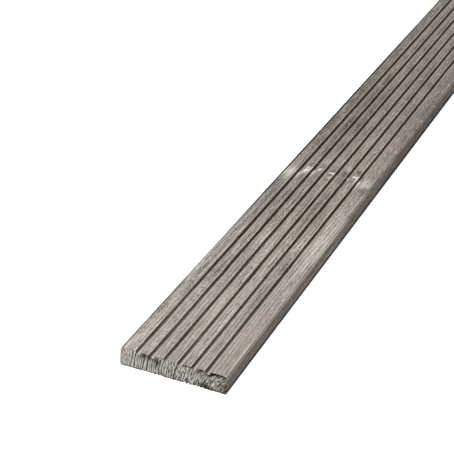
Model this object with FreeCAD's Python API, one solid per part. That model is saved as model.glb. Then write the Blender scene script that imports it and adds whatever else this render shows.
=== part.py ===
import FreeCAD, Part
import math
import os

# A decking board planed from one piece of softwood and sawn square at both ends.
# Sizes are in millimetres. X runs across the board, Y along it and Z up.
# The origin is the middle of the underside.

board_length = 2400.0
board_width = 145.0
board_thickness = 27.0
top_edge_radius = 3.5  # long edges of the upper face
bottom_edge_radius = 2.0  # long edges of the lower face

# Wide drainage grooves in the upper face, spread evenly between the two outer ones.
groove_count = 6
groove_edge = 25.3  # from a long edge to the middle of the outer groove
groove_mouth = 8.4
groove_floor = 3.2
groove_depth = 4.2
groove_lip_radius = 2.0
groove_root_radius = 1.0

# Fine grip grooves in the lower face, one group beside each long edge.
fine_count = 6  # grooves in a group
fine_edge = 31.2  # from a long edge to the middle of the outer fine groove
fine_pitch = 5.0
fine_mouth = 3.2
fine_flank_deg = 50.0  # slope of a fine groove's sides
fine_lip_radius = 0.4
fine_root_radius = 0.6

half_width = board_width / 2
groove_pitch = (board_width - 2 * groove_edge) / (groove_count - 1)
fine_apex = fine_mouth / 2 * math.tan(math.radians(fine_flank_deg))


def wide_groove(middle):
    """Corners of one drainage groove, from left to right along the upper face."""
    floor_level = board_thickness - groove_depth
    return [
        (middle - groove_mouth / 2, board_thickness, groove_lip_radius),
        (middle - groove_floor / 2, floor_level, groove_root_radius),
        (middle + groove_floor / 2, floor_level, groove_root_radius),
        (middle + groove_mouth / 2, board_thickness, groove_lip_radius),
    ]


def fine_groove(middle):
    """Corners of one grip groove, from right to left along the lower face."""
    return [
        (middle + fine_mouth / 2, 0.0, fine_lip_radius),
        (middle, fine_apex, fine_root_radius),
        (middle - fine_mouth / 2, 0.0, fine_lip_radius),
    ]


def section_corners():
    """Corners of the whole section as (x, z, radius), clockwise from the lower left."""
    corners = [(-half_width, 0.0, bottom_edge_radius)]
    corners.append((-half_width, board_thickness, top_edge_radius))
    for index in range(groove_count):
        corners += wide_groove(-half_width + groove_edge + index * groove_pitch)
    corners.append((half_width, board_thickness, top_edge_radius))
    corners.append((half_width, 0.0, bottom_edge_radius))
    for index in range(fine_count):
        corners += fine_groove(half_width - fine_edge - index * fine_pitch)
    for index in reversed(range(fine_count)):
        corners += fine_groove(-half_width + fine_edge + index * fine_pitch)
    return corners


def rounded_outline(corners, y):
    """Closed wire at y through the corners, each one rounded by a tangent arc."""
    points = [FreeCAD.Vector(x, y, z) for x, z, radius in corners]
    arcs = []
    for index, (x, z, radius) in enumerate(corners):
        corner = points[index]
        following = points[(index + 1) % len(points)]
        to_previous = (points[index - 1] - corner).normalize()
        to_following = (following - corner).normalize()
        half_angle = to_previous.getAngle(to_following) / 2
        reach = radius / math.tan(half_angle)
        inward = (to_previous + to_following).normalize()
        start = corner + to_previous * reach
        middle = corner + inward * (radius / math.sin(half_angle) - radius)
        end = corner + to_following * reach
        arcs.append((start, middle, end))
    edges = []
    for index, (start, middle, end) in enumerate(arcs):
        next_start = arcs[(index + 1) % len(arcs)][0]
        edges.append(Part.Arc(start, middle, end).toShape())
        edges.append(Part.makeLine(end, next_start))
    return Part.Wire(edges)


section = Part.Face(rounded_outline(section_corners(), -board_length / 2))
decking_board = section.extrude(FreeCAD.Vector(0, board_length, 0))

os.makedirs("parts", exist_ok=True)
decking_board.exportStep("parts/decking_board.step")
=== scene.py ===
# %% [markdown]
# # A weathered decking board
# The object is one plank of treated softwood: planed, grooved along both faces and sawn square.
# This lesson dresses its plain solid in Blender. The solid gives the true section, and what is
# added here is what planing, sawing and weather leave on real wood, together with light and shade
# painted into its colour in places.

# %% Load the imported frame
import math

import bpy
import numpy as np
from mathutils import Matrix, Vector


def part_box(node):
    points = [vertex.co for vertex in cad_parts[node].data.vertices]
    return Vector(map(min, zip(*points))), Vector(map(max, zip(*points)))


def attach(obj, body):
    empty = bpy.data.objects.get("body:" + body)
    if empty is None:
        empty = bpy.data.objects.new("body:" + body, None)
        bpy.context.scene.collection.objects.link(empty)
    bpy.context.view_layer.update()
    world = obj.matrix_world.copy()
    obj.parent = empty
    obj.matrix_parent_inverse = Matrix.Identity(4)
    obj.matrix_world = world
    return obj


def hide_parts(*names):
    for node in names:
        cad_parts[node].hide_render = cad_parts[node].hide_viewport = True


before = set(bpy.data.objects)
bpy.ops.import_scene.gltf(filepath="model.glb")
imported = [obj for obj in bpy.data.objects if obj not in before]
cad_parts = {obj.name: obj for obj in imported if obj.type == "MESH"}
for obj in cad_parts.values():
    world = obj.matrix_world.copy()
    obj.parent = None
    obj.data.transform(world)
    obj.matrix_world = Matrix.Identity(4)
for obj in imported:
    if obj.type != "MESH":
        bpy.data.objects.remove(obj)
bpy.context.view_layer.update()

MM = 0.001
low, high = (np.array(corner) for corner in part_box("decking_board"))
WIDTH, LENGTH, THICK = high - low
NEAR_END = low[1]
print(f"board {LENGTH:.3f} m long, {WIDTH / MM:.1f} mm wide, {THICK / MM:.1f} mm thick")

# %% Places on the board


def along(mm):
    """Y of a place that is given in mm from the near end."""
    return NEAR_END + mm * MM


def across(mm):
    """X of a place that is given in mm from the left edge."""
    return mm * MM - WIDTH / 2


print(f"near end at y {along(0):.3f} m, left edge at x {across(0):.4f} m")

# %% [markdown]
# ## The section as two outlines
# A moulder cuts the board's section in one pass, so every slice across it is the same. The
# upper face has wide grooves that drain water, and the lower one has two bands of fine
# grooves for grip. A section could be drawn as a curve and bevelled along a path. Here it is
# worked out as depth below a flat face, because depth also tells the materials where dirt
# collects and where edges are rubbed pale.

# %% Depth of the wide grooves
WIDE = dict(mouth=8.4 * MM, floor=3.2 * MM, depth=4.2 * MM, lip=2.0 * MM, root=1.0 * MM)
WIDE_COUNT, WIDE_FROM_EDGE = 6, 25.3 * MM
WIDE_MIDDLES = np.linspace(-1, 1, WIDE_COUNT) * (WIDTH / 2 - WIDE_FROM_EDGE)
WIDE_SLOPE = math.atan2(WIDE["depth"], (WIDE["mouth"] - WIDE["floor"]) / 2)
WIDE_LAND = WIDE["mouth"] / 2 + WIDE["lip"] * math.tan(WIDE_SLOPE / 2)
WIDE_FLOOR = WIDE["floor"] / 2 - WIDE["root"] * math.tan(WIDE_SLOPE / 2)


def wide_depth(offset):
    """Depth at a distance from a wide groove's middle: the floor's depth, then an arc of the
    root radius, then a straight flank, then an arc of the lip radius up to the land."""
    away = np.abs(offset)
    lip_at = WIDE_LAND - WIDE["lip"] * math.sin(WIDE_SLOPE)
    root_at = WIDE_FLOOR + WIDE["root"] * math.sin(WIDE_SLOPE)
    lip = WIDE["lip"] - np.sqrt(np.clip(WIDE["lip"] ** 2 - (WIDE_LAND - away) ** 2, 0, None))
    root = np.sqrt(np.clip(WIDE["root"] ** 2 - (away - WIDE_FLOOR) ** 2, 0, None))
    flank = (WIDE["mouth"] / 2 - away) * math.tan(WIDE_SLOPE)
    return np.select(
        [away >= WIDE_LAND, away >= lip_at, away >= root_at, away >= WIDE_FLOOR],
        [0.0, lip, flank, WIDE["depth"] - WIDE["root"] + root],
        WIDE["depth"],
    )


print(f"{WIDE_COUNT} wide grooves, {wide_depth(0.0) / MM:.2f} mm deep")

# %% Depth of the fine grooves
FINE = dict(mouth=3.2 * MM, flank=math.radians(50), lip=0.4 * MM, root=0.6 * MM)
FINE_COUNT, FINE_FROM_EDGE, FINE_APART = 6, 31.2 * MM, 5.0 * MM
right_band = WIDTH / 2 - FINE_FROM_EDGE - np.arange(FINE_COUNT) * FINE_APART
FINE_MIDDLES = np.sort(np.concatenate([-right_band, right_band]))
FINE_LAND = FINE["mouth"] / 2 + FINE["lip"] * math.tan(FINE["flank"] / 2)
FINE_ROOT = FINE["root"] * math.sin(FINE["flank"])


def fine_depth(offset):
    """Depth at a distance from a fine groove's middle: an arc of the root radius at the
    bottom of a V, its straight flank, then an arc of the lip radius up to the land."""
    away = np.abs(offset)
    slope = FINE["flank"]
    lip_at = FINE_LAND - FINE["lip"] * math.sin(slope)
    apex = FINE["mouth"] / 2 * math.tan(slope)
    lip = FINE["lip"] - np.sqrt(np.clip(FINE["lip"] ** 2 - (FINE_LAND - away) ** 2, 0, None))
    root = np.sqrt(np.clip(FINE["root"] ** 2 - away**2, 0, None))
    flank = (FINE["mouth"] / 2 - away) * math.tan(slope)
    return np.select(
        [away >= FINE_LAND, away >= lip_at, away >= FINE_ROOT],
        [0.0, lip, flank],
        apex - FINE["root"] / math.cos(slope) + root,
    )


print(f"{len(FINE_MIDDLES)} fine grooves, {fine_depth(0.0) / MM:.2f} mm deep")

# %% Calls that spread points
EDGE_TOP, EDGE_LOW = 3.5 * MM, 2.0 * MM
EDGE_POINTS = 5


def between(start, end, count):
    """Points strictly between two values, evenly spread."""
    return np.linspace(start, end, count + 2)[1:-1]


def mirrored(right_half):
    """A run of points from the far left to the far right, from its right half."""
    return np.concatenate([-right_half[::-1], right_half])


def edge_points(radius):
    """X of the points round a long edge: the sine of even angles on its arc."""
    turn = np.linspace(0, math.pi / 2, EDGE_POINTS)
    return WIDTH / 2 - radius + radius * np.sin(turn)


print(f"long edges rounded to {EDGE_TOP / MM:.1f} mm above and {EDGE_LOW / MM:.1f} mm below")

# %% Points along the upper outline
LIP_COUNT, ROOT_COUNT, LAND_COUNT, OUTER_COUNT = 4, 2, 3, 5
lip_points = WIDE_LAND - WIDE["lip"] * np.sin(np.linspace(0, WIDE_SLOPE, LIP_COUNT))
root_points = WIDE_FLOOR + WIDE["root"] * np.sin(np.linspace(0, WIDE_SLOPE, ROOT_COUNT))
flank_point = (lip_points[-1:] + root_points[-1:]) / 2
groove_half = np.concatenate([root_points, flank_point, lip_points[::-1]])
groove_points = np.concatenate([-groove_half[::-1], [0.0], groove_half])
in_grooves = (WIDE_MIDDLES[:, None] + groove_points).ravel()
land_half = (WIDE_MIDDLES[1] - WIDE_MIDDLES[0]) / 2 - WIDE_LAND
land_middles = (WIDE_MIDDLES[1:] + WIDE_MIDDLES[:-1]) / 2
on_lands = (land_middles[:, None] + between(-land_half, land_half, LAND_COUNT)).ravel()
outer_land = between(WIDE_MIDDLES[-1] + WIDE_LAND, WIDTH / 2 - EDGE_TOP, OUTER_COUNT)
outer_points = mirrored(np.concatenate([outer_land, edge_points(EDGE_TOP)]))
top_x = np.sort(np.concatenate([in_grooves, on_lands, outer_points]))
print(f"{len(top_x)} points along the upper face")

# %% Points along the lower outline
MOUTH_INSET, MIDDLE_COUNT, SIDE_COUNT = 0.1 * MM, 19, 6
fine_half = np.array([FINE_ROOT, FINE["mouth"] / 2 - MOUTH_INSET, FINE_LAND])
fine_points = np.concatenate([-fine_half[::-1], [0.0], fine_half])
in_grooves = (FINE_MIDDLES[:, None] + fine_points).ravel()
left_of_middle, right_of_middle = FINE_MIDDLES[FINE_COUNT - 1], FINE_MIDDLES[FINE_COUNT]
middle_land = between(left_of_middle + FINE_LAND, right_of_middle - FINE_LAND, MIDDLE_COUNT)
side_land = between(FINE_MIDDLES[-1] + FINE_LAND, WIDTH / 2 - EDGE_LOW, SIDE_COUNT)
outer_points = mirrored(np.concatenate([side_land, edge_points(EDGE_LOW)]))
low_x = np.sort(np.concatenate([in_grooves, middle_land, outer_points]))
print(f"{len(low_x)} points along the lower face")

# %% Heights of the two outlines


def edge_drop(x, radius):
    """How far a long edge's arc lies below its face at x: none before the arc starts."""
    into = np.clip(np.abs(x) - (WIDTH / 2 - radius), 0, radius)
    return radius - np.sqrt(radius**2 - into**2)


def nearest_offset(x, middles):
    """Signed distance from x to the nearest of some groove middles."""
    apart = x[:, None] - middles
    return apart[np.arange(len(x)), np.argmin(np.abs(apart), axis=1)]


top_depth = wide_depth(nearest_offset(top_x, WIDE_MIDDLES))
low_depth = fine_depth(nearest_offset(low_x, FINE_MIDDLES))
top_z = THICK - top_depth - edge_drop(top_x, EDGE_TOP)
low_z = low_depth + edge_drop(low_x, EDGE_LOW)
print(f"sides from z {low_z[-1] / MM:.1f} mm to {top_z[-1] / MM:.1f} mm")

# %% The closed outline of the section
ACROSS = len(top_x)
# Rows down the sides and the ends, as shares of the way from the upper to the lower face.
LEVELS = np.array([0.05, 0.1, 0.16, 0.24, 0.36, 0.5, 0.66, 0.82, 0.93])
ROWS = len(LEVELS) + 1
side_z = top_z[-1] * (1 - LEVELS) + low_z[-1] * LEVELS
side_x = np.full(ROWS - 1, WIDTH / 2)
ring_x = np.concatenate([top_x, side_x, low_x[::-1], -side_x])
ring_z = np.concatenate([top_z, side_z, low_z[::-1], side_z[::-1]])
RING = len(ring_x)
step_x = np.roll(ring_x, -1) - np.roll(ring_x, 1)
step_z = np.roll(ring_z, -1) - np.roll(ring_z, 1)
step = np.hypot(step_x, step_z)
out_x, out_z = -step_z / step, step_x / step
print(f"{RING} points round the section")

# %% [markdown]
# ## Relief along the length
# A planed board isn't perfectly even. Its edges are rubbed and nicked, the planer leaves a
# faint line on each rounded edge, and the sawn ends lose slivers at the rim. A displacement
# texture could press these in. Here they are numbers for each point, because the board has
# to stay inside its solid: every dent moves a point along its normal, always inwards and by
# about a millimetre at most. Sums of sine waves with seeded phases give a smooth unevenness
# that is the same on every run.

# %% Stations along the board
END_STEPS = np.array([0, 0.5, 1.2, 2.2, 3.6, 5.5])


def stations():
    """Places along the length: close together at the sawn ends and at the branch trace,
    wider apart on the plain run."""
    near = along(END_STEPS)
    # A run: where it starts, where it ends and how many stations it holds.
    runs = [
        (along(8), along(300), 84),
        (along(300), along(530), 34),
        (along(530), along(620), 34),
        (along(620), -along(60), 172),
        (-along(60), -along(8), 14),
    ]
    spread = [np.linspace(start, end, count, endpoint=False) for start, end, count in runs]
    return np.concatenate([near, *spread, [-along(8)], -near[::-1]])


place = stations()
STATIONS = len(place)
print(f"{STATIONS} stations, {RING * (STATIONS - 1) * 2} triangles on the long faces")

# %% The long faces as one sheet
CONVEX_FULL = 0.35
around = np.concatenate([[0], np.cumsum(np.hypot(np.diff(ring_x), np.diff(ring_z)))])
turn = np.roll(out_x, -1) * np.roll(out_z, 1) - np.roll(out_z, -1) * np.roll(out_x, 1)
convex = np.clip(turn / CONVEX_FULL, 0, 1)
upper = ring_z > THICK / 2
S, Y = np.meshgrid(around, place)
from_end = np.minimum(Y - NEAR_END, -NEAR_END - Y)
print(f"sheet {around[-1] / MM:.0f} mm round, {np.sum(convex > 0)} of its points on outward bends")

# %% Smooth seeded unevenness
UNEVEN, UNEVEN_SPREAD = 0.05 * MM, 0.6


def waves(seed, count, first, second, lengths_first, lengths_second):
    """A sum of plane waves over two parameters, scaled to a spread of about one. Each wave
    has a seeded phase and wavelengths drawn between the given limits on each parameter."""
    draw = np.random.default_rng(seed)
    total = np.zeros(np.broadcast(first, second).shape)
    for _ in range(count):
        step_first = 2 * math.pi / draw.uniform(*lengths_first) * draw.choice([-1, 1])
        step_second = 2 * math.pi / draw.uniform(*lengths_second)
        total += np.sin(first * step_first + second * step_second + draw.uniform(0, 2 * math.pi))
    return total / math.sqrt(count / 2)


uneven = UNEVEN * (1 + UNEVEN_SPREAD * waves(3, 9, S, Y, (0.02, 0.09), (0.15, 0.7)))
print(f"unevenness: mean {uneven.mean() / MM:.3f} mm, most {uneven.max() / MM:.3f} mm")

# %% Nicks and the planer's line
NICK, NICK_FROM = 0.32 * MM, 1.1
QUIRK, QUIRK_SPREAD, QUIRK_FROM_EDGE, QUIRK_REACH = 0.16 * MM, 0.4, 1.5 * MM, 0.7 * MM
rubbed = np.clip(waves(5, 10, S, Y, (0.012, 0.05), (0.02, 0.11)) - NICK_FROM, 0, None)
nicks = NICK * rubbed * convex
off_quirk = (np.abs(ring_x) - (WIDTH / 2 - QUIRK_FROM_EDGE)) / QUIRK_REACH
quirk = np.exp(-(off_quirk**2)) * upper
wavering = 1 + QUIRK_SPREAD * waves(8, 5, S, Y, (0.05, 0.2), (0.1, 0.5))
quirk_line = QUIRK * quirk * wavering
print(f"nicks up to {nicks.max() / MM:.2f} mm, planer's line up to {quirk_line.max() / MM:.2f} mm")

# %% Splintered rims
SPLINTER_CUT, DENT_MOST = 1.2, 0.9 * MM
RIM_REACH, RIM_LEAST, RIM_MORE = 1.6 * MM, 0.16 * MM, 0.2 * MM
jagged = waves(11, 12, S, Y * 0, (0.004, 0.03), (1, 2))
splinter = np.clip(jagged, -SPLINTER_CUT, None) + SPLINTER_CUT
rim_dent = np.exp(-from_end / RIM_REACH) * (RIM_LEAST + RIM_MORE * splinter)
dent = np.clip(uneven + nicks + quirk_line, 0, DENT_MOST) + rim_dent
print(f"dents up to {dent.max() / MM:.2f} mm, mean {dent.mean() / MM:.3f} mm")

# %% [markdown]
# ## Closing the ends
# The sawn ends could be one many-sided face each. A grid between the upper and the lower
# outline is better: it holds the slight dishing that a saw leaves, and it shares its border
# points with the long faces, so the whole board is one watertight surface. The grid also
# holds the deepest damage: below the upper rim of the near end, the saw tore out chips.

# %% Points of the long faces
SLIVER = 0.3 * MM
long_points = np.stack([ring_x - out_x * dent, Y, ring_z - out_z * dent], axis=-1)
long_points[0, :, 1] += SLIVER * splinter[0]
long_points[-1, :, 1] -= SLIVER * splinter[-1]
print(f"{long_points.shape[0] * long_points.shape[1]} points on the long faces")

# %% Points of the sawn ends
DISH, DISH_MEAN, DISH_MOST = 0.12 * MM, 1.3, 0.4 * MM
# A chip's row: x from the left edge, z from the bottom, reach across and up, depth, in mm.
CHIPS = [
    (91, 24.8, 6.0, 1.1, 1.2),
    (110.5, 24.6, 3.0, 1.3, 1.5),
    (124, 23.4, 4.0, 2.6, 2.4),
    (131, 24.8, 9.5, 1.4, 2.2),
]
share = LEVELS[None, :]
inner_x = top_x[1:-1, None] * (1 - share) + low_x[1:-1, None] * share
inner_z = top_z[1:-1, None] * (1 - share) + low_z[1:-1, None] * share


def end_points(side, seed, chips=()):
    """Inner points of a sawn end: a flat grid, dished inwards by up to two fifths of a
    millimetre by long waves across the end. Each chip is then pressed in: its depth times a
    flat-bottomed bell of x, e to the minus fourth power, times a bell of z."""
    long_waves = waves(seed, 7, inner_x, inner_z, (0.02, 0.09), (0.015, 0.06))
    dish = np.clip(DISH * (DISH_MEAN + long_waves), 0, DISH_MOST)
    for x_mm, z_mm, wide_mm, high_mm, deep_mm in chips:
        sideways = (inner_x - across(x_mm)) / (wide_mm * MM)
        up = (inner_z - z_mm * MM) / (high_mm * MM)
        dish += deep_mm * MM * np.exp(-(sideways**4) - up**2)
    print(f"sawn end: up to {dish.max() / MM:.2f} mm deep")
    y = np.full_like(inner_x, side * LENGTH / 2) - side * dish
    return np.stack([inner_x, y, inner_z], axis=-1).reshape(-1, 3)


sawn_points = [end_points(-1, 21, CHIPS), end_points(1, 22)]
points = np.concatenate([long_points.reshape(-1, 3), *sawn_points])
print(f"{len(points)} points in the board")

# %% Faces of the long faces
corner = np.arange(STATIONS * RING).reshape(STATIONS, RING)
ahead = np.roll(corner, -1, axis=1)
long_faces = np.stack([corner[:-1], ahead[:-1], ahead[1:], corner[1:]], axis=-1).reshape(-1, 4)
print(f"{len(long_faces)} faces along the board")

# %% Faces of the ends
inner_count = (ACROSS - 2) * (ROWS - 1)


def end_grid(first, inner_first):
    """Numbers of an end's points as a grid: its border is the ring that starts at first,
    upper outline, right side, lower outline and left side, and the rest are its own."""
    grid = np.empty((ACROSS, ROWS + 1), int)
    grid[:, 0] = first + np.arange(ACROSS)
    grid[-1, 1:-1] = first + ACROSS + np.arange(ROWS - 1)
    grid[::-1, -1] = first + ACROSS + ROWS - 1 + np.arange(ACROSS)
    grid[0, -2:0:-1] = first + 2 * ACROSS + ROWS - 1 + np.arange(ROWS - 1)
    grid[1:-1, 1:-1] = inner_first + np.arange(inner_count).reshape(-1, ROWS - 1)
    return grid


def grid_faces(grid):
    """Four-sided faces of a grid, in the order that faces away from the board in front."""
    quads = np.stack([grid[:-1, :-1], grid[:-1, 1:], grid[1:, 1:], grid[1:, :-1]], axis=-1)
    return quads.reshape(-1, 4)


near_faces = grid_faces(end_grid(0, STATIONS * RING))
far_grid = end_grid((STATIONS - 1) * RING, STATIONS * RING + inner_count)
far_faces = grid_faces(far_grid)[:, ::-1]
faces = np.concatenate([long_faces, near_faces, far_faces])
print(f"{len(faces)} faces, {len(faces) * 2} triangles")

# %% The board's mesh
SHARP_FROM = math.radians(42)


def mesh_from(name, points, faces):
    """A mesh from arrays of points and four-sided faces."""
    mesh = bpy.data.meshes.new(name)
    mesh.vertices.add(len(points))
    mesh.vertices.foreach_set("co", points.astype(np.float32).ravel())
    mesh.loops.add(faces.size)
    mesh.loops.foreach_set("vertex_index", faces.astype(np.int32).ravel())
    mesh.polygons.add(len(faces))
    mesh.polygons.foreach_set("loop_start", np.arange(0, faces.size, 4, dtype=np.int32))
    mesh.update(calc_edges=True)
    mesh.validate()
    return mesh


board_mesh = mesh_from("weathered_board", points, faces)
is_end = np.arange(len(faces)) >= len(long_faces)
board_mesh.polygons.foreach_set("material_index", is_end.astype(np.int32))
board_mesh.polygons.foreach_set("use_smooth", np.ones(len(faces), bool))
board_mesh.set_sharp_from_angle(angle=SHARP_FROM)
print(f"mesh of {len(board_mesh.vertices)} points and {len(board_mesh.polygons)} faces")

# %% The board in the scene
board = bpy.data.objects.new("weathered_board", board_mesh)
bpy.context.scene.collection.objects.link(board)
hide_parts("decking_board")
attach(board, "root")
print(f"{board.name} stands for the solid")

# %% [markdown]
# ## What the surface tells the materials
# The upper flanks of the grooves are darkened with painted shade and some dirt, the groove floors
# are painted paler as a painted highlight, and the lips between groove and land are painted pale,
# partly as wear and partly as a painted highlight. A shader can't see these places by itself, so
# each point carries them as attributes, worked out from its depth and its slope. A map that
# unrolls the board, with more room across the grain than along it, is stored as well, because wood
# changes much faster across its grain.

# %% Masks round the section
EDGE_MARGIN = 0.1 * MM
STEEP_FROM, STEEP_OVER, ABOVE_FLOOR_OVER = 0.38, 0.22, 0.4
FINE_GAIN, FINE_MOST = 1.4, 0.85
FLOOR_FROM, FLOOR_TILT, LIP_TILT = 0.8, 0.8, 0.5
on_edge = np.abs(ring_x) >= WIDTH / 2 - EDGE_TOP - EDGE_MARGIN
sunk = np.concatenate([top_depth, side_z * 0, low_depth[::-1], side_z * 0])
sunk = sunk / np.where(upper, WIDE["depth"], fine_depth(0.0))
tilt = np.abs(out_x)
steep = np.clip((tilt - STEEP_FROM) / STEEP_OVER, 0, 1) * ~on_edge
above_floor = np.clip((1.0 - sunk) / ABOVE_FLOOR_OVER, 0, 1)
# Upper face: painted shade on the upper flanks of the wide grooves, with some dirt, fading towards
# their floors. Lower face: darker with depth in the fine grooves.
shade_and_dirt = np.where(upper, steep * above_floor, np.clip(sunk * FINE_GAIN, 0, FINE_MOST))
# Floors of the wide grooves: a painted highlight.
floor_highlight = (sunk > FLOOR_FROM) * np.clip(1 - tilt / FLOOR_TILT, 0, 1) * upper
# Lips of the wide grooves: painted pale, partly wear and partly a painted highlight.
lip = np.clip(convex, 0, 1) * (tilt < LIP_TILT) * ~on_edge * upper
print(f"dirt on {np.mean(shade_and_dirt > 0):.0%} of the section's points")

# %% Attributes on the board's points


def carry(name, ring_values):
    """Stores a value for each point of the section on the whole board, and none on the ends."""
    values = np.concatenate([np.tile(ring_values, STATIONS), np.zeros(2 * inner_count)])
    layer = board_mesh.attributes.new(name, "FLOAT", "POINT")
    layer.data.foreach_set("value", values.astype(np.float32))
    print(f"{name}: mean {ring_values.mean():.3f}, most {ring_values.max():.3f}")


carry("shade_and_dirt", shade_and_dirt)
carry("floor_highlight", floor_highlight)
carry("lip", lip)
carry("rim", np.ones(RING))

# %% A map that unrolls the long faces
LONG_SHARE = 0.94
closing = np.hypot(ring_x[0] - ring_x[-1], ring_z[0] - ring_z[-1])
ring_u = np.append(around, around[-1] + closing)
ring_u /= ring_u[-1]
run_v = (place - NEAR_END) / LENGTH * LONG_SHARE
left_u, level = np.meshgrid(ring_u[:-1], run_v)
right_u, _ = np.meshgrid(ring_u[1:], run_v)
long_u = np.stack([left_u[:-1], right_u[:-1], right_u[1:], left_u[1:]], axis=-1)
long_v = np.stack([level[:-1], level[:-1], level[1:], level[1:]], axis=-1)
long_map = np.stack([long_u, long_v], axis=-1).reshape(-1, 2)
print(f"long faces take {LONG_SHARE:.0%} of the map's height")

# %% The ends on the map
END_WIDE, END_HIGH, END_GAP = 0.47, 0.045, 0.01
NEAR_START, FAR_START = 0.01, 0.52


def end_map(end_faces, start):
    """Flat map of an end: x across its half of the map's last strip, z up it."""
    flat = points[end_faces]
    u = start + (flat[..., 0] / WIDTH + 0.5) * END_WIDE
    v = LONG_SHARE + END_GAP + flat[..., 2] / THICK * END_HIGH
    return np.stack([u, v], axis=-1).reshape(-1, 2)


end_maps = [end_map(near_faces, NEAR_START), end_map(far_faces, FAR_START)]
unrolled = np.concatenate([long_map, *end_maps])
board_map = board_mesh.uv_layers.new(name="OFBake")
board_map.uv.foreach_set("vector", unrolled.astype(np.float32).ravel())
print(f"map corners {unrolled.min(axis=0).round(3)} to {unrolled.max(axis=0).round(3)}")

# %% [markdown]
# ## Tools for building materials
# A material is a graph of nodes. It could be drawn by hand in the editor. Written as short
# calls, one for each step of the thought, it stays readable and can be built again: a call
# makes a node, plugs in what it is given and hands back its output.

# %% Calls for arithmetic


def plug(tree, socket, value):
    """Links an output to a socket, or sets the socket's own value."""
    if isinstance(value, bpy.types.NodeSocket):
        tree.links.new(value, socket)
    else:
        socket.default_value = value


def reckon(tree, operation, *values):
    """One arithmetic step on numbers."""
    step = tree.nodes.new("ShaderNodeMath")
    step.operation = operation
    for socket, value in zip(step.inputs, values):
        plug(tree, socket, value)
    return step.outputs[0]


def times(tree, first, *others):
    """The product of numbers, one step for each factor after the first."""
    for other in others:
        first = reckon(tree, "MULTIPLY", first, other)
    return first


def plus(tree, first, *others):
    """The sum of numbers, one step for each term after the first."""
    for other in others:
        first = reckon(tree, "ADD", first, other)
    return first


def minus(tree, first, second):
    """The difference of two numbers."""
    return reckon(tree, "SUBTRACT", first, second)


print("calls made:", ", ".join(call.__name__ for call in (plug, reckon, times, plus, minus)))

# %% Calls for soft limits


def ease(tree, value, start, end, low_value=0.0, high_value=1.0):
    """A smooth change from one value to another between two limits."""
    step = tree.nodes.new("ShaderNodeMapRange")
    step.interpolation_type = "SMOOTHSTEP"
    for socket, given in zip(step.inputs, (value, start, end, low_value, high_value)):
        plug(tree, socket, given)
    return step.outputs["Result"]


def bell(tree, value, middle, width):
    """A bell curve: e to the minus square of the distance from the middle, in widths."""
    away = reckon(tree, "DIVIDE", minus(tree, value, middle), width)
    return reckon(tree, "EXPONENT", times(tree, away, away, -1.0))


def off_middle(tree, value, gain):
    """How far a noise lies from its middle, one half, times a gain."""
    return times(tree, minus(tree, value, 0.5), gain)


print("calls made:", ", ".join(call.__name__ for call in (ease, bell, off_middle)))

# %% Calls for colours, noise and places


def blend(tree, share, first, second, way="MIX"):
    """Two colours mixed by a share."""
    step = tree.nodes.new("ShaderNodeMix")
    step.data_type = "RGBA"
    step.blend_type = way
    plug(tree, step.inputs[0], share)
    plug(tree, step.inputs[6], first)
    plug(tree, step.inputs[7], second)
    return step.outputs[2]


def grain_noise(tree, position, stretch, offset, detail=2.0, rough=0.5):
    """Noise of a given number of features to the metre along each axis."""
    place_it = tree.nodes.new("ShaderNodeMapping")
    plug(tree, place_it.inputs["Vector"], position)
    place_it.inputs["Scale"].default_value = stretch
    place_it.inputs["Location"].default_value = offset
    noise = tree.nodes.new("ShaderNodeTexNoise")
    tree.links.new(place_it.outputs["Vector"], noise.inputs["Vector"])
    noise.inputs["Scale"].default_value = 1.0
    noise.inputs["Detail"].default_value = detail
    noise.inputs["Roughness"].default_value = rough
    return noise.outputs[0]


def parts_of(tree, position):
    """The x, y and z of a position."""
    step = tree.nodes.new("ShaderNodeSeparateXYZ")
    tree.links.new(position, step.inputs[0])
    return step.outputs[0], step.outputs[1], step.outputs[2]


print("calls made:", ", ".join(call.__name__ for call in (blend, grain_noise, parts_of)))

# %% Calls for node groups


def new_group(name, inputs, outputs):
    """An empty node group with named sockets: (name, kind, default) in, (name, kind) out."""
    group = bpy.data.node_groups.new(name, "ShaderNodeTree")
    for label, kind, default in inputs:
        socket = group.interface.new_socket(label, in_out="INPUT", socket_type=f"NodeSocket{kind}")
        if default is not None:
            socket.default_value = default
    for label, kind in outputs:
        group.interface.new_socket(label, in_out="OUTPUT", socket_type=f"NodeSocket{kind}")
    given = group.nodes.new("NodeGroupInput").outputs
    return group, given, group.nodes.new("NodeGroupOutput").inputs


def use_group(tree, group, **given):
    """Places a node group in a tree and plugs in its inputs; hands back its outputs."""
    step = tree.nodes.new("ShaderNodeGroup")
    step.node_tree = group
    for label, value in given.items():
        plug(tree, step.inputs[label.replace("_", " ")], value)
    return step.outputs


print("calls made:", ", ".join(call.__name__ for call in (new_group, use_group)))

# %% [markdown]
# ## Growth rings
# A board is a slice of a trunk. If the rings are worked out once in space, as distance from
# the trunk's pith, the lines on the faces and the arcs on the sawn ends belong together, as
# they do in real wood. A flat picture of wood on each face would never line up.

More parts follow.
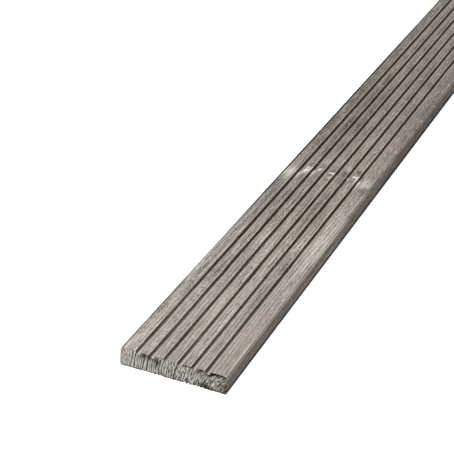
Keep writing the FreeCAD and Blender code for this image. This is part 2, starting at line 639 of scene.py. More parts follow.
# %% Node group: growth rings
PITH_DRIFT = 40 * MM
rings, given, put = new_group(
    "growth_rings",
    [
        ("Position", "Vector", None),
        ("Bend", "Float", 0.0),
        ("Ripple", "Float", 0.9 * MM),
        ("Ring Width", "Float", 3.4 * MM),
        ("Pith X", "Float", 0.094),
        ("Pith Z", "Float", -0.004),
    ],
    [("Late Wood", "Float"), ("Ring Place", "Vector")],
)
x, y, z = parts_of(rings, given["Position"])
drift = grain_noise(rings, given["Position"], (0.0, 1.3, 0.0), (3.1, 0.0, 7.7), 1.0)
drift = off_middle(rings, drift, PITH_DRIFT)
ripple = grain_noise(rings, given["Position"], (85.0, 5.0, 85.0), (0.0, 2.0, 0.0))
ripple = off_middle(rings, ripple, given["Ripple"])
away_x = plus(rings, minus(rings, x, given["Pith X"]), drift)
away_z = minus(rings, z, given["Pith Z"])
square = plus(rings, times(rings, away_x, away_x), times(rings, away_z, away_z))
radius = plus(rings, reckon(rings, "SQRT", square), plus(rings, ripple, given["Bend"]))
print("distance from the pith:", len(rings.nodes), "nodes")

# %% Late wood of each year
SEASONS_A_METRE, SEASON_REACH = 110.0, 4 * MM
season = rings.nodes.new("ShaderNodeTexNoise")
season.noise_dimensions = "1D"
rings.links.new(times(rings, radius, SEASONS_A_METRE), season.inputs["W"])
season.inputs["Scale"].default_value = 1.0
season.inputs["Detail"].default_value = 1.0
uneven_years = times(rings, season.outputs[0], SEASON_REACH)
years = reckon(rings, "DIVIDE", plus(rings, radius, uneven_years), given["Ring Width"])
year = reckon(rings, "FRACT", years)
late = times(rings, ease(rings, year, 0.3, 0.75), ease(rings, year, 0.85, 1.0, 1.0, 0.0))
rings.links.new(late, put["Late Wood"])
print("late wood:", len(rings.nodes), "nodes")

# %% Places counted along the rings
turned = reckon(rings, "ARCTAN2", away_z, times(rings, away_x, -1.0))
turned = times(rings, turned, radius)
ring_place = rings.nodes.new("ShaderNodeCombineXYZ")
for socket, value in zip(ring_place.inputs, (radius, y, turned)):
    rings.links.new(value, socket)
rings.links.new(ring_place.outputs[0], put["Ring Place"])
print("growth_rings:", len(rings.nodes), "nodes")

# %% [markdown]
# ## Fibres and weather
# Between the rings, wood is bundles of fibres: lines a millimetre wide and a finger long,
# longer ones among them, and short specks, mottles and pale flecks where the surface is worn.
# Thin cracks open here and there. Weather then tints the wood in soft patches, greenish where
# algae start and slightly violet where the pigment of the treatment stays. A photograph of
# wood would repeat along the plank. Noise that is stretched along the grain never does.

# %% Node group: fibre streaks
# A noise's row: features to the metre on each axis, offset, detail and roughness.
FIBRE_NOISES = dict(
    lines=((850.0, 17.0, 850.0), (0.0, 0.0, 0.0), 3.0, 0.6),
    long_lines=((480.0, 6.0, 480.0), (2.0, 6.0, 5.0), 2.0, 0.5),
    specks=((900.0, 190.0, 900.0), (1.0, 8.0, 3.0), 1.0, 0.5),
    mottle=((560.0, 105.0, 560.0), (3.0, 4.0, 6.0), 2.0, 0.5),
    flecks=((430.0, 120.0, 430.0), (4.0, 7.0, 2.0), 0.0, 0.5),
    broad=((170.0, 5.0, 170.0), (5.0, 1.0, 2.0), 2.0, 0.5),
    raised=((26.0, 7.0, 26.0), (7.0, 3.0, 1.0), 1.0, 0.5),
    split=((170.0, 3.0, 170.0), (2.0, 5.0, 9.0), 2.0, 0.5),
    opened=((60.0, 11.0, 60.0), (8.0, 2.0, 4.0), 1.0, 0.5),
)
fibres, given, put = new_group(
    "fibre_streaks",
    [("Position", "Vector", None), ("Lines", "Float", 1.0), ("Mottle", "Float", 1.0)],
    [("Streak", "Float"), ("Crack", "Float"), ("Broad", "Float"), ("Fleck", "Float")],
)
noise = {}
for name, row in FIBRE_NOISES.items():
    noise[name] = grain_noise(fibres, given["Position"], *row)
print("noises of the fibres:", ", ".join(noise))

# %% Streaks, cracks and flecks
LINE_GAINS = dict(lines=5.0, specks=3.2, long_lines=2.4)
MOTTLE_GAIN, BROAD_GAIN = 2.0, 0.5
fine_lines = [off_middle(fibres, noise[name], gain) for name, gain in LINE_GAINS.items()]
raised = times(fibres, ease(fibres, noise["raised"], 0.38, 0.6, 0.75, 1.2), given["Lines"])
streak = times(fibres, plus(fibres, *fine_lines), raised)
blotch = times(fibres, off_middle(fibres, noise["mottle"], MOTTLE_GAIN), given["Mottle"])
streak = plus(fibres, streak, blotch, off_middle(fibres, noise["broad"], BROAD_GAIN), 0.5)
split = reckon(fibres, "ABSOLUTE", minus(fibres, noise["split"], 0.5))
crack = times(fibres, ease(fibres, split, 0.016, 0.002), ease(fibres, noise["opened"], 0.5, 0.62))
fibres.links.new(streak, put["Streak"])
fibres.links.new(crack, put["Crack"])
fibres.links.new(noise["broad"], put["Broad"])
fibres.links.new(ease(fibres, noise["flecks"], 0.71, 0.79), put["Fleck"])
print("fibre_streaks:", len(fibres.nodes), "nodes")

# %% Soft smears


def smear(tree, position, middle, reach, turn=0.0):
    """A soft oval: e to the minus square of the distance from its middle, counted in its own
    reach along each axis, after a turn about the vertical."""
    own = tree.nodes.new("ShaderNodeMapping")
    own.vector_type = "TEXTURE"
    plug(tree, own.inputs["Vector"], position)
    own.inputs["Location"].default_value = middle
    own.inputs["Rotation"].default_value = (0.0, 0.0, turn)
    own.inputs["Scale"].default_value = reach
    square = tree.nodes.new("ShaderNodeVectorMath")
    square.operation = "DOT_PRODUCT"
    tree.links.new(own.outputs[0], square.inputs[0])
    tree.links.new(own.outputs[0], square.inputs[1])
    return reckon(tree, "EXPONENT", times(tree, square.outputs["Value"], -1.0))


def smears(tree, position, table):
    """The sum of several smears, each as tall as the board and more. A row gives the middle
    from the left edge and the near end, the reach across and along, in mm, the turn in
    degrees and the strength."""
    total = 0.0
    for x_mm, y_mm, across_mm, along_mm, degrees, strength in table:
        middle = (across(x_mm), along(y_mm), 0.0)
        reach = (across_mm * MM, along_mm * MM, 1.0)
        one = smear(tree, position, middle, reach, math.radians(degrees))
        total = reckon(tree, "MULTIPLY_ADD", one, strength, total)
    print(f"{len(table)} smears")
    return total


print("calls made:", ", ".join(call.__name__ for call in (smear, smears)))

# %% Lighter, darker and olive stretches
# A tone's strength lightens the wood, or darkens it where it is below nought.
TONES = [
    (52, 250, 9, 60, 0, -0.2),
    (71, 690, 9, 70, 0, -0.1),
    (33, 690, 9, 60, 0, -0.14),
    (72, 350, 90, 60, 0, 0.14),
    (133, 385, 13, 120, 0, 0.38),
    (131, 20, 14, 40, 0, -0.1),
    (131, 662, 12, 50, 0, 0.2),
    (110, 165, 9, 95, 0, -0.32),
    (110, 650, 9, 100, 0, 0.28),
    (92, 260, 8, 60, 0, 0.14),
    (92, 480, 9, 55, 0, -0.32),
    (92, 672, 9, 70, 0, 0.22),
    (71, 180, 8, 60, 0, 0.14),
    (71, 20, 9, 40, 0, -0.26),
    (52, 410, 8, 80, 0, 0.18),
    (52, 810, 11, 120, 0, -0.34),
    (30, 760, 20, 190, 0, -0.26),
    (30, 930, 12, 90, 0, -0.25),
    (20, 470, 16, 60, 0, -0.2),
    (11, 25, 12, 40, 0, 0.2),
]
OLIVES = [
    (71, 115, 9, 45, 0, 0.6),
    (12, 120, 10, 50, 0, 0.25),
    (131, 90, 11, 40, 0, 0.35),
    (84, 410, 16, 90, 0, 0.4),
    (11, 990, 9, 40, 0, 0.5),
    (32, 655, 9, 26, 0, 0.5),
    (77, 690, 12, 40, 0, 0.35),
    (124, 800, 12, 90, 0, 0.35),
]
print(f"{len(TONES)} tones and {len(OLIVES)} olive patches")

# %% Node group: weather patches
patches, given, put = new_group(
    "weather_patches",
    [("Position", "Vector", None), ("Blotch", "Float", 0.5), ("Algae", "Float", 0.5)],
    [("Olive", "Float"), ("Violet", "Float"), ("Tone", "Float")],
)
olive = grain_noise(patches, given["Position"], (22.0, 6.0, 22.0), (2.3, 4.1, 0.0))
violet = grain_noise(patches, given["Position"], (18.0, 5.5, 18.0), (9.0, 1.7, 5.0))
cloudy = grain_noise(patches, given["Position"], (70.0, 21.0, 70.0), (4.0, 6.6, 8.0), 3.0, 0.6)
olive = times(patches, ease(patches, olive, 0.48, 0.68), given["Algae"])
olive = plus(patches, olive, smears(patches, given["Position"], OLIVES))
tone = reckon(patches, "MULTIPLY_ADD", off_middle(patches, cloudy, 1.0), given["Blotch"], 1.0)
tone = plus(patches, tone, smears(patches, given["Position"], TONES))
patches.links.new(olive, put["Olive"])
patches.links.new(ease(patches, violet, 0.45, 0.7), put["Violet"])
patches.links.new(tone, put["Tone"])
print("weather_patches:", len(patches.nodes), "nodes")

# %% [markdown]
# ## The branch trace
# A little over half a metre from the near end, the planer cut along a branch that lay across
# the plank. On each land it left torn pale fibres, with darker wood beside them, and the rings
# swerve round it. A painter would set these down as single strokes, and so does this group:
# each is a long thin smear with a place, a length and a turn, and a little noise bends it.

# %% Strokes of the branch trace
PALE_STROKES = [
    (12, 558, 9, 17, 0, 0.42),
    (14, 561, 2.2, 10, 0, 0.3),
    (6.5, 555, 2.4, 8, 0, 0.45),
    (10, 534, 8, 20, 0, 0.1),
    (31.5, 568, 11, 4.5, 62, 0.6),
    (33, 573, 6, 15, 0, 0.22),
    (24.6, 560, 1.9, 10, 0, 0.7),
    (33, 583, 2.0, 4, 0, 0.6),
    (36, 577, 6, 1.5, 62, 0.8),
    (29.5, 570, 6, 1.5, 62, 0.7),
    (38.4, 584, 1.6, 6, 0, 1.1),
    (48.8, 581.5, 6.5, 3.0, 50, 1.7),
    (43.2, 574, 1.9, 9, 0, 0.7),
    (53, 614, 5, 4, 15, 0.2),
    (72, 581, 7, 2.3, -8, 1.6),
    (74.8, 566, 1.8, 3.5, 0, 0.5),
    (92, 612, 5, 4, 20, 0.22),
    (94.5, 604, 1.6, 4, 0, 0.5),
    (108, 585.5, 7, 2.6, 22, 1.5),
    (113.6, 580, 1.5, 8, 0, 0.9),
    (99.4, 579, 2.0, 4.5, 0, 1.3),
    (118.6, 574, 1.8, 14, 0, 1.2),
    (131, 573, 11, 15, 0, 0.36),
    (130, 562, 7, 4, 40, 0.15),
]
DARK_STROKES = [
    (68, 587, 6, 2.6, -5, 1.0),
    (69, 572, 6, 5, 0, 0.42),
    (88, 594, 10, 2.0, -44, 1.3),
    (87, 586, 9, 2.0, -36, 1.1),
    (107, 607, 6.5, 4.2, -14, 1.25),
    (113, 600, 3, 7, 0, 0.45),
    (106, 572, 5, 8, 0, 0.3),
    (119.6, 593, 3, 9, 0, 0.9),
    (136, 546, 13, 9, 0, 0.42),
    (48, 550, 9, 18, 0, 0.2),
    (34, 548, 6, 12, 0, 0.25),
]
print(f"{len(PALE_STROKES)} pale strokes and {len(DARK_STROKES)} dark ones")

# %% Node group: branch trace
SWERVES_A_METRE, SWERVE = 90.0, np.array([4.0, 10.0, 0.0]) * MM
trace, given, put = new_group(
    "branch_trace",
    [("Position", "Vector", None)],
    [("Pale", "Float"), ("Dark", "Float"), ("Bend", "Float")],
)
swerve = trace.nodes.new("ShaderNodeTexNoise")
swerve.inputs["Scale"].default_value = SWERVES_A_METRE
swerve.inputs["Detail"].default_value = 2.0
trace.links.new(given["Position"], swerve.inputs["Vector"])
bent = trace.nodes.new("ShaderNodeVectorMath")
bent.operation = "MULTIPLY_ADD"
trace.links.new(swerve.outputs["Color"], bent.inputs[0])
bent.inputs[1].default_value = SWERVE
trace.links.new(given["Position"], bent.inputs[2])
centred = trace.nodes.new("ShaderNodeVectorMath")
centred.operation = "SUBTRACT"
trace.links.new(bent.outputs[0], centred.inputs[0])
centred.inputs[1].default_value = SWERVE / 2
stroke_place = centred.outputs[0]
print("bent places:", len(trace.nodes), "nodes")

# %% Pale and dark strokes, and the rings' swerve
BRANCH_AT, BRANCH_REACH, BRANCH_BEND = along(578), 30 * MM, 5.0 * MM
_, y, z = parts_of(trace, given["Position"])
torn = grain_noise(trace, given["Position"], (320.0, 60.0, 320.0), (6.0, 0.0, 0.0))
torn = ease(trace, torn, 0.35, 0.6, 0.7, 1.2)
fainter_below = ease(trace, z, 2 * MM, 20 * MM, 0.3, 1.0)
pale = times(trace, smears(trace, stroke_place, PALE_STROKES), times(trace, torn, fainter_below))
trace.links.new(pale, put["Pale"])
trace.links.new(smears(trace, stroke_place, DARK_STROKES), put["Dark"])
trace.links.new(times(trace, bell(trace, y, BRANCH_AT, BRANCH_REACH), BRANCH_BEND), put["Bend"])
print("branch_trace:", len(trace.nodes), "nodes")

# %% [markdown]
# ## The planed faces
# The colour starts as warm grey and is darkened and tinted step by step: fibres, rings, weather
# and branch, in the order in which a real board gets them. Then come the pale lips, edges and
# groove floors, partly wear and partly painted highlight, the groove flanks with painted shade and
# dirt, and the sides with painted shade and soil.
# Layers of paint in an image could do this too, but only for one size and one board. Here
# the masks stay numbers, and they also drive the height of the grain, so light catches what
# the eye already sees as colour.

# %% Colours of the weathered wood


def srgb(red, green, blue):
    """A colour given as screen values from 0 to 255, as the linear light that nodes use."""
    screen = np.array([red, green, blue]) / 255
    light = np.where(screen <= 0.04045, screen / 12.92, ((screen + 0.055) / 1.055) ** 2.4)
    return (*light.tolist(), 1.0)


PALE_WOOD = srgb(209, 201, 194)
DARK_WOOD = srgb(116, 107, 99)
LATE_WOOD = srgb(108, 98, 90)
PALE_TRACE = srgb(250, 246, 240)
DARK_TRACE = srgb(74, 66, 59)
OLIVE_TINT = (0.975, 1.0, 0.87, 1.0)
VIOLET_TINT = (1.0, 0.965, 0.985, 1.0)
GREEN_TINT = (0.97, 1.0, 1.01, 1.0)
WARM_TINT = (1.015, 0.985, 0.957, 1.0)
print("pale wood in linear light:", [round(v, 3) for v in PALE_WOOD[:3]])

# %% Material: planed faces


def new_material(name):
    """A new material, with its tree, its shader and the object's own coordinates."""
    material = bpy.data.materials.new(name)
    material.use_nodes = True
    tree = material.node_tree
    position = tree.nodes.new("ShaderNodeTexCoord").outputs["Object"]
    return material, tree, tree.nodes["Principled BSDF"], position


planed, tree, shader, position = new_material("weathered_planed_face")
x, y, z = parts_of(tree, position)
print("planed face begun:", len(tree.nodes), "nodes")

# %% How clearly the fibres show
LAND_REACH, LIVELIER, CALMER = 8 * MM, 0.6, -0.4
coarser = ease(tree, y, along(100), along(380), 0.66, 1.5)
smoother = ease(tree, y, along(420), along(700), 1.0, 0.35)
by_land = ease(tree, x, across(98), across(124), 1.0, 0.45)
for land_mm, change in ((34, LIVELIER), (72, CALMER)):
    on_land = bell(tree, x, across(land_mm), LAND_REACH)
    by_land = reckon(tree, "MULTIPLY_ADD", on_land, change, by_land)
clear = times(tree, smoother, times(tree, coarser, by_land))
mottled = ease(tree, y, along(350), along(680), 0.3, 0.85)
fibre = use_group(tree, fibres, Position=position, Lines=clear, Mottle=mottled)
print("fibres:", len(tree.nodes), "nodes")

# %% Weather, branch and rings
cloudier = ease(tree, y, along(350), along(680), 0.35, 1.4)
greener = ease(tree, y, along(350), along(800), 0.3, 0.45)
weather = use_group(tree, patches, Position=position, Blotch=cloudier, Algae=greener)
branch = use_group(tree, trace, Position=position)
growth = use_group(tree, rings, Position=position, Bend=branch["Bend"])
print("weather, branch and rings:", len(tree.nodes), "nodes")

# %% Colour of fibres, rings and weather
colour = blend(tree, fibre["Streak"], DARK_WOOD, PALE_WOOD)
ring_show = ease(tree, y, along(350), along(680), 0.36, 0.18)
colour = blend(tree, times(tree, growth["Late Wood"], ring_show), colour, LATE_WOOD)
colour = blend(tree, weather["Olive"], colour, OLIVE_TINT, "MULTIPLY")
colour = blend(tree, weather["Violet"], colour, VIOLET_TINT, "MULTIPLY")
mossy = ease(tree, x, across(25), across(15))
colour = blend(tree, mossy, colour, GREEN_TINT, "MULTIPLY")
warmer = ease(tree, y, along(300), along(750))
colour = blend(tree, warmer, colour, WARM_TINT, "MULTIPLY")
print("tinted wood:", len(tree.nodes), "nodes")

# %% Tone along the board: painted fall-off of the lamp's light, partly the wood's own tone
# Darker towards the far end: painted fall-off of the light, partly the wood's own tone.
falloff_and_tone = ease(tree, y, along(120), along(950), 1.0, 0.63)
tone = times(tree, falloff_and_tone, weather["Tone"])
grey = tree.nodes.new("ShaderNodeCombineColor")
for socket in grey.inputs[:3]:
    tree.links.new(tone, socket)
colour = blend(tree, 1.0, colour, grey.outputs[0], "MULTIPLY")
print("toned wood:", len(tree.nodes), "nodes")

# %% Flecks, branch trace and cracks
PALE_SHOW, DARK_SHOW, CRACK_SHOW = 0.95, 0.9, 0.7
flecked = ease(tree, y, along(400), along(700), 0.2, 0.45)
colour = blend(tree, times(tree, fibre["Fleck"], flecked), colour, PALE_TRACE)
colour = blend(tree, times(tree, branch["Pale"], PALE_SHOW), colour, PALE_TRACE)
colour = blend(tree, times(tree, branch["Dark"], DARK_SHOW), colour, DARK_TRACE)
colour = blend(tree, times(tree, fibre["Crack"], CRACK_SHOW), colour, DARK_TRACE)
print("wood, rings, weather and trace:", len(tree.nodes), "nodes")

# %% [markdown]
# ## Grooves and long edges
# The lips and the upper edges are painted pale, partly as wear and partly as a painted highlight.
# The groove floors are painted paler as a painted highlight, and the upper flanks get painted
# shade with some dirt. The planer's line on each upper edge is painted dark as shade in its
# crease. The sides get a warm painted shade and a near-black band along the bottom, which is soil,
# where damp lasts longest, and painted shade under the board. The left upper edge gets a band of
# grime and painted shade. A node that finds sharp places by itself depends on how fine the mesh
# is. Here the edges are found from the section: the angle round a rounded edge follows from x and
# z, so a pale or dark line can lie at any place on the arc.

# %% Lips pale from wear and painted highlight, groove floors pale as a painted highlight
PALE_WEAR_AND_HIGHLIGHT, LIP_SHOW, FLOOR_SHOW = srgb(214, 206, 198), 0.3, 0.5


def carried(tree, name):
    """A value stored on the board's points."""
    step = tree.nodes.new("ShaderNodeAttribute")
    step.attribute_name = name
    return step.outputs["Fac"]


# Lips: wear and a painted highlight. Groove floors: a painted highlight.
colour = blend(tree, times(tree, carried(tree, "lip"), LIP_SHOW), colour, PALE_WEAR_AND_HIGHLIGHT)
colour = blend(tree, times(tree, carried(tree, "floor_highlight"), FLOOR_SHOW), colour, PALE_WEAR_AND_HIGHLIGHT)
print("lips and floors:", len(tree.nodes), "nodes")

# %% The angle round the upper edges


def inset(mm):
    """Distance from the board's middle line of a place that lies some mm inside a side."""
    return WIDTH / 2 - mm * MM


def below_top(mm):
    """Z of a place that lies some mm below the upper face."""
    return THICK - mm * MM


aside = reckon(tree, "ABSOLUTE", x)
beyond = minus(tree, aside, WIDTH / 2 - EDGE_TOP)
above = minus(tree, z, THICK - EDGE_TOP)
lean = ease(tree, y, along(0), along(450), math.radians(-10), math.radians(28))
round_edge = plus(tree, reckon(tree, "ARCTAN2", beyond, above), lean)
near_side = ease(tree, aside, inset(5), inset(4))
at_edge = times(tree, near_side, ease(tree, z, below_top(6), below_top(4)))


def edge_line(middle, width):
    """A soft line along both upper edges: a bell of the angle round the edge, in degrees."""
    line = bell(tree, round_edge, math.radians(middle), math.radians(width))
    return times(tree, line, at_edge)


print("upper edges found:", len(tree.nodes), "nodes")

# %% Upper edges: pale lines, partly wear and partly painted highlight, and the planer's line as painted shade
PALE_EDGE_WEAR_AND_HIGHLIGHT, TOP_SHOW, QUIRK_SHADE_SHOW = srgb(240, 234, 226), 0.6, 0.5
broken = ease(tree, fibre["Broad"], 0.3, 0.6, 0.75, 1.0)
edge_wear_and_highlight = times(tree, ease(tree, y, along(310), along(520), 1.0, 0.1), broken)
# Pale lines on the rounded upper edges: painted highlight where the lamp leaves the rounding dark,
# broken up like wear.
colour = blend(tree, times(tree, edge_line(20, 20), edge_wear_and_highlight, TOP_SHOW), colour, PALE_WEAR_AND_HIGHLIGHT)
colour = blend(tree, times(tree, edge_line(82, 15), edge_wear_and_highlight), colour, PALE_EDGE_WEAR_AND_HIGHLIGHT)
# Dark line along the planer's line: painted shade in its crease.
colour = blend(tree, times(tree, edge_line(56, 11), QUIRK_SHADE_SHOW), colour, DARK_TRACE)
print("worn edges:", len(tree.nodes), "nodes")

# %% Painted shade and dirt on the groove flanks
GROOVE_SHADE_AND_DIRT = srgb(39, 25, 9)
crumbs = grain_noise(tree, position, (40.0, 70.0, 40.0), (5.0, 2.0, 0.0))
flank_darkening = ease(tree, y, along(50), along(450), 0.84, 1.0)
flank_darkening = times(tree, flank_darkening, ease(tree, crumbs, 0.3, 0.55, 0.91, 1.0))
# The flanks are darkened: painted shade, with some dirt.
colour = blend(tree, times(tree, carried(tree, "shade_and_dirt"), flank_darkening), colour, GROOVE_SHADE_AND_DIRT)
print("dirty grooves:", len(tree.nodes), "nodes")

# %% Sides tinted warm as painted shade, and a near-black band along their bottom: soil and painted shade under the board
WARM_SIDE_SHADE, SOIL_AND_SHADE, DARK_BAND_FADE = (1.02, 0.985, 0.94, 1.0), srgb(8, 7, 5), 2.4 * MM
outermost = ease(tree, aside, inset(1), inset(0.3))
on_side = times(tree, outermost, ease(tree, z, below_top(3), below_top(5)))
# A warm tint on the sides: painted shade.
colour = blend(tree, on_side, colour, WARM_SIDE_SHADE, "MULTIPLY")
dark_band_top = ease(tree, y, along(200), along(700), 7.2 * MM, 9.5 * MM)
dark_band_full = minus(tree, dark_band_top, DARK_BAND_FADE)
soil_and_shade = times(
    tree,
    ease(tree, z, dark_band_top, dark_band_full),
    ease(tree, z, 0.0, 0.6 * MM),
    ease(tree, aside, inset(6), inset(3)),
    ease(tree, y, along(1050), along(1350), 0.95, 0.6),
)
# The band along the bottom: soil, and painted shade under the board.
colour = blend(tree, soil_and_shade, colour, SOIL_AND_SHADE)
print("soiled sides:", len(tree.nodes), "nodes")

# %% Grime and painted shade along the left upper edge
GRIME_AND_SHADE, LEFT_BAND_FADE = srgb(44, 42, 37), 1.8 * MM
FAINTER_AT, FAINTER_REACH, FAINTER = along(270), 90 * MM, -0.55
left_band_from = ease(tree, y, along(300), along(700), across(4.6), across(6.0))
left_band_full = minus(tree, left_band_from, LEFT_BAND_FADE)
grime_and_shade = times(
    tree,
    ease(tree, y, along(0), along(700), 0.7, 1.0),
    reckon(tree, "MULTIPLY_ADD", bell(tree, y, FAINTER_AT, FAINTER_REACH), FAINTER, 1.0),
    ease(tree, y, along(1050), along(1350), 1.0, 0.35),
    ease(tree, x, left_band_from, left_band_full),
    ease(tree, z, below_top(7), below_top(4)),
)
# A dark band along the left upper edge: grime, and painted shade on the rounding.
colour = blend(tree, grime_and_shade, colour, GRIME_AND_SHADE)
tree.links.new(colour, shader.inputs["Base Color"])
print("grooves and edges:", len(tree.nodes), "nodes")

# %% Height and shine of the planed faces
RING_HEIGHT, CRACK_HEIGHT = 0.5, -1.5


def give_relief(tree, shader, height, strength, depth):
    """Tilts a shader's normals by a height, with a strength up to one and a depth."""
    bump = tree.nodes.new("ShaderNodeBump")
    bump.inputs["Strength"].default_value = strength
    bump.inputs["Distance"].default_value = depth
    tree.links.new(height, bump.inputs["Height"])
    tree.links.new(bump.outputs["Normal"], shader.inputs["Normal"])


ring_height = times(tree, growth["Late Wood"], RING_HEIGHT)
crack_height = times(tree, fibre["Crack"], CRACK_HEIGHT)
height = plus(tree, fibre["Streak"], ring_height, crack_height)
give_relief(tree, shader, height, strength=0.7, depth=0.28 * MM)
tree.links.new(ease(tree, fibre["Broad"], 0.25, 0.75, 0.72, 0.9), shader.inputs["Roughness"])
shader.inputs["Specular IOR Level"].default_value = 0.12
board_mesh.materials.append(planed)
print("planed face:", len(tree.nodes), "nodes")

# %% [markdown]
# ## The sawn ends
# End grain shows the cut fibres head on: rings as leaning bands, torn dark pores, and a plain
# strip at the left where no bands show. The rim of an end is dark and broken. The near end also
# has darker spots: round its chips they are painted shade in the chips' recesses, and the others
# are darker spots elsewhere on it. A picture of end grain could be pasted here, but rings from the
# same group as on the faces meet them at the rim.

# %% Material: sawn ends
END_PALE, END_DARK, PLAIN_END = srgb(236, 230, 223), srgb(66, 58, 51), srgb(222, 215, 211)
sawn, tree, shader, position = new_material("sawn_end_grain")
x, _, z = parts_of(tree, position)
growth = use_group(tree, rings, Position=position, Ripple=0.8 * MM)
ring_place = growth["Ring Place"]
pores = grain_noise(tree, ring_place, (880.0, 1.0, 160.0), (0.0, 0.0, 0.0), 2.0, 0.6)
cloud = grain_noise(tree, ring_place, (150.0, 1.0, 70.0), (3.0, 0.0, 1.0))
print("sawn end begun:", len(tree.nodes), "nodes")

# %% Bands and pores
CLOUD_GAIN = 1.2
banded = ease(tree, x, -20 * MM, 10 * MM, -1.15, -0.45)
lightness = ease(tree, x, -20 * MM, 10 * MM, 0.92, 0.66)
porous = ease(tree, x, -30 * MM, 5 * MM, 3.6, 6.6)
late = ease(tree, growth["Late Wood"], 0.35, 0.95)
bands = reckon(tree, "MULTIPLY_ADD", late, banded, lightness)
bands = plus(tree, bands, off_middle(tree, pores, porous), off_middle(tree, cloud, CLOUD_GAIN))
colour = blend(tree, bands, END_DARK, END_PALE)
speckled = blend(tree, ease(tree, pores, 0.32, 0.6, 0.7, 0.0), PLAIN_END, END_DARK)
plain = ease(tree, x, across(13), across(16), 1.0, 0.0)
colour = blend(tree, plain, colour, speckled)
print("bands:", len(tree.nodes), "nodes")

# %% Stains and painted shade on the near end
# A spot's row: x from the left edge, z from the bottom, reach across and up, in mm, strength. The
# four round the chips paint shade in their recesses.
STAINS_AND_SHADE = [
    (31, 23, 6.5, 5.0, 1.0),
    (41, 23.5, 6, 3.5, 0.85),
    (50, 19, 6, 7.5, 1.0),
    (91, 25, 8, 1.6, 1.2),
    (110, 24.5, 5, 2.4, 1.4),
    (121, 22.5, 5.5, 4.5, 1.2),
    (132, 25, 11, 2.4, 2.2),
    (115, 4, 7.5, 6.5, 1.5),
    (128, 1.5, 12, 3, 1.0),
    (144, 9, 5, 11, 1.1),
]
SPOT_REACH = 20 * MM
stain_and_shade = 0.0
for x_mm, z_mm, across_mm, up_mm, strength in STAINS_AND_SHADE:
    spot = (across(x_mm), NEAR_END, z_mm * MM)
    one = smear(tree, position, spot, (across_mm * MM, SPOT_REACH, up_mm * MM))
    stain_and_shade = reckon(tree, "MULTIPLY_ADD", one, strength, stain_and_shade)
stain_and_shade = times(tree, stain_and_shade, ease(tree, pores, 0.35, 0.6, 1.0, 0.75))
print(f"{len(STAINS_AND_SHADE)} stains")

# %% Dark rims of the ends
STAIN_AND_SHADE_TINT = (0.14, 0.118, 0.095, 1.0)
rim = ease(tree, carried(tree, "rim"), 0.05, 0.7, 0.0, 0.8)
rim = times(tree, rim, ease(tree, cloud, 0.4, 0.6, 1.0, 0.55))
lower_rim = ease(tree, z, 3.4 * MM, 0.8 * MM)
lower_rim = times(tree, lower_rim, ease(tree, cloud, 0.4, 0.6, 1.0, 0.5))
left_rim = ease(tree, x, across(2.2), across(0.6), 0.0, 0.9)
for dark_rim in (rim, lower_rim, left_rim):
    stain_and_shade = reckon(tree, "MAXIMUM", stain_and_shade, dark_rim)
# Multiplied in: darker spots, painted shade in the chips, and the darker rims.
colour = blend(tree, stain_and_shade, colour, STAIN_AND_SHADE_TINT, "MULTIPLY")
tree.links.new(colour, shader.inputs["Base Color"])
print("rims:", len(tree.nodes), "nodes")

# %% Height and shine of the sawn ends
SAW_HEIGHT = 0.35
saw = grain_noise(tree, position, (30.0, 30.0, 1400.0), (0.0, 0.0, 0.0), 1.0)
height = plus(tree, times(tree, pores, -1.0), times(tree, saw, SAW_HEIGHT))
give_relief(tree, shader, height, strength=0.8, depth=0.4 * MM)
tree.links.new(ease(tree, cloud, 0.3, 0.7, 0.85, 0.95), shader.inputs["Roughness"])
shader.inputs["Specular IOR Level"].default_value = 0.2
board_mesh.materials.append(sawn)
print("sawn end:", len(tree.nodes), "nodes")

# %% [markdown]
# ## Floor, light and camera
# The board lies on a white floor under one large soft lamp from the left and front, so the
# right side and the right-facing flanks of the grooves fall into shade. A weak second lamp
# lifts the far half a little. To the camera the floor is lifted to white; to the board it is
# a mid grey, so it doesn't brighten the shade. A brighter lamp could whiten the floor as well,
# but it would bleach the wood.

# %% The floor's mesh
FLOOR_HALF, FLOOR_DROP = 8.0, 0.2 * MM
corner_signs = np.array([[-1, -1], [1, -1], [1, 1], [-1, 1]])
floor_corners = np.column_stack([corner_signs * FLOOR_HALF, np.full(4, -FLOOR_DROP)])
floor_mesh = mesh_from("studio_floor", floor_corners, np.array([[0, 1, 2, 3]]))
floor = bpy.data.objects.new("studio_floor", floor_mesh)
bpy.context.scene.collection.objects.link(floor)
print(f"floor {2 * FLOOR_HALF:.0f} m wide, {FLOOR_DROP / MM:.1f} mm below the board")

# %% White to the camera, grey to the board
FLOOR_WHITE, FLOOR_GREY, FLOOR_LIFT = (0.85, 0.85, 0.85, 1.0), (0.28, 0.28, 0.28, 1.0), 0.8


def shown_or_lighting(tree, shown, lighting, output):
    """Sends one shader to rays from the camera, from mirrors and through glass, and another
    to the rays that carry light to the board."""
    path = tree.nodes.new("ShaderNodeLightPath").outputs
    mirrored_or_clear = reckon(tree, "MAXIMUM", path["Is Glossy Ray"], path["Is Transmission Ray"])
    either = tree.nodes.new("ShaderNodeMixShader")
    directly = reckon(tree, "MAXIMUM", path["Is Camera Ray"], mirrored_or_clear)
    tree.links.new(directly, either.inputs[0])
    tree.links.new(lighting, either.inputs[1])
    tree.links.new(shown, either.inputs[2])
    tree.links.new(either.outputs[0], tree.nodes[output].inputs["Surface"])


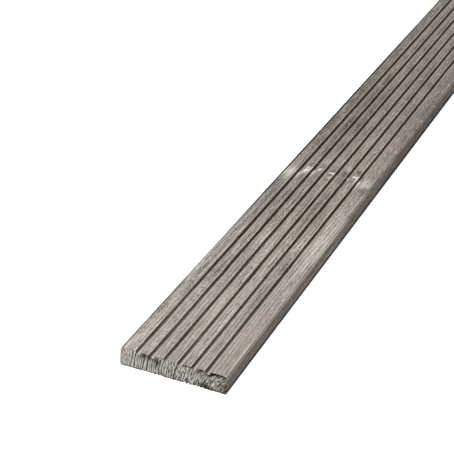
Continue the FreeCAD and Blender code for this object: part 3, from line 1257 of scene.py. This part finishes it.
white = bpy.data.materials.new("studio_white")
white.use_nodes = True
tree = white.node_tree
tree.nodes.remove(tree.nodes["Principled BSDF"])
matt = tree.nodes.new("ShaderNodeBsdfDiffuse")
matt.inputs["Color"].default_value = FLOOR_WHITE
lift = tree.nodes.new("ShaderNodeEmission")
lift.inputs["Strength"].default_value = FLOOR_LIFT
lifted = tree.nodes.new("ShaderNodeAddShader")
tree.links.new(matt.outputs[0], lifted.inputs[0])
tree.links.new(lift.outputs[0], lifted.inputs[1])
grey_floor = tree.nodes.new("ShaderNodeBsdfDiffuse")
grey_floor.inputs["Color"].default_value = FLOOR_GREY
shown_or_lighting(tree, lifted.outputs[0], grey_floor.outputs[0], "Material Output")
floor_mesh.materials.append(white)
print("floor's finish:", len(tree.nodes), "nodes")

# %% Soft fill from the air
WHITE, FILL = (1.0, 1.0, 1.0, 1.0), 0.36
world = bpy.data.worlds.new("studio_air")
world.use_nodes = True
bpy.context.scene.world = world
tree = world.node_tree
fill = tree.nodes["Background"]
fill.inputs["Strength"].default_value = FILL
backdrop = tree.nodes.new("ShaderNodeBackground")
backdrop.inputs["Strength"].default_value = 1.0
for air in (fill, backdrop):
    air.inputs["Color"].default_value = WHITE
shown_or_lighting(tree, backdrop.outputs[0], fill.outputs[0], "World Output")
print("air:", len(tree.nodes), "nodes")

# %% A large lamp, and a weak one for the far half


def seated(right, up, back, place):
    """A placing matrix from an object's own three axes and its place."""
    seat = np.eye(4)
    seat[:3] = np.column_stack([right, up, back, place])
    return Matrix(seat.tolist())


def aimed(place, target):
    """A turn that points an object's -Z axis from its place to a target, with +Y upward."""
    back = np.array(place, float) - np.array(target, float)
    back /= np.linalg.norm(back)
    right = np.cross([0.0, 0.0, 1.0], back)
    right /= np.linalg.norm(right)
    return seated(right, np.cross(back, right), back, place)


def softbox(name, place, target, side, power, spread):
    """A square area lamp of a given side, power and spread, aimed from its place at a target."""
    data = bpy.data.lights.new(name, "AREA")
    data.shape = "SQUARE"
    data.size = side
    data.energy = power
    data.spread = math.radians(spread)
    lamp = bpy.data.objects.new(name, data)
    lamp.matrix_world = aimed(place, target)
    bpy.context.scene.collection.objects.link(lamp)
    print(f"{name}: {side} m square, {power} W")


NEAR_LAMP, NEAR_TARGET = (-0.4, -2.5, 2.8), (0.0, -0.9, 0.0)
FAR_LAMP, FAR_TARGET = (-0.7, 2.5, 1.9), (0.0, 1.0, 0.0)
softbox("softbox_near", NEAR_LAMP, NEAR_TARGET, side=0.9, power=80.0, spread=180)
softbox("softbox_far", FAR_LAMP, FAR_TARGET, side=0.9, power=2.5, spread=50)

# %% Axes of the camera
AZIMUTH, ELEVATION, ROLL = (math.radians(v) for v in (21.68, 28.872, 3.174))
outward = math.cos(ELEVATION) * np.array([math.sin(AZIMUTH), -math.cos(AZIMUTH)])
back = np.append(outward, math.sin(ELEVATION))
level_right = np.cross(-back, [0.0, 0.0, 1.0])
level_right /= np.linalg.norm(level_right)
level_up = np.cross(level_right, -back)
right = math.cos(ROLL) * level_right + math.sin(ROLL) * level_up
up = -math.sin(ROLL) * level_right + math.cos(ROLL) * level_up
print(f"the camera looks along {(-back).round(3)}")

# %% Camera at the photograph's angle
FOCAL_PIXELS, FRAME_PIXELS, SENSOR = 1451.05, 454, 36.0
CAMERA_AT = np.array([across(671.53), along(-1352.62), 1034.64 * MM])
camera_data = bpy.data.cameras.new("view")
camera_data.sensor_width = SENSOR
camera_data.lens = FOCAL_PIXELS * SENSOR / FRAME_PIXELS
camera = bpy.data.objects.new("view", camera_data)
camera.matrix_world = seated(right, up, back, CAMERA_AT)
bpy.context.scene.collection.objects.link(camera)
bpy.context.scene.camera = camera
bpy.context.scene.view_settings.view_transform = "Standard"
print(f"lens {camera_data.lens:.1f} mm, camera at {CAMERA_AT.round(3)}")
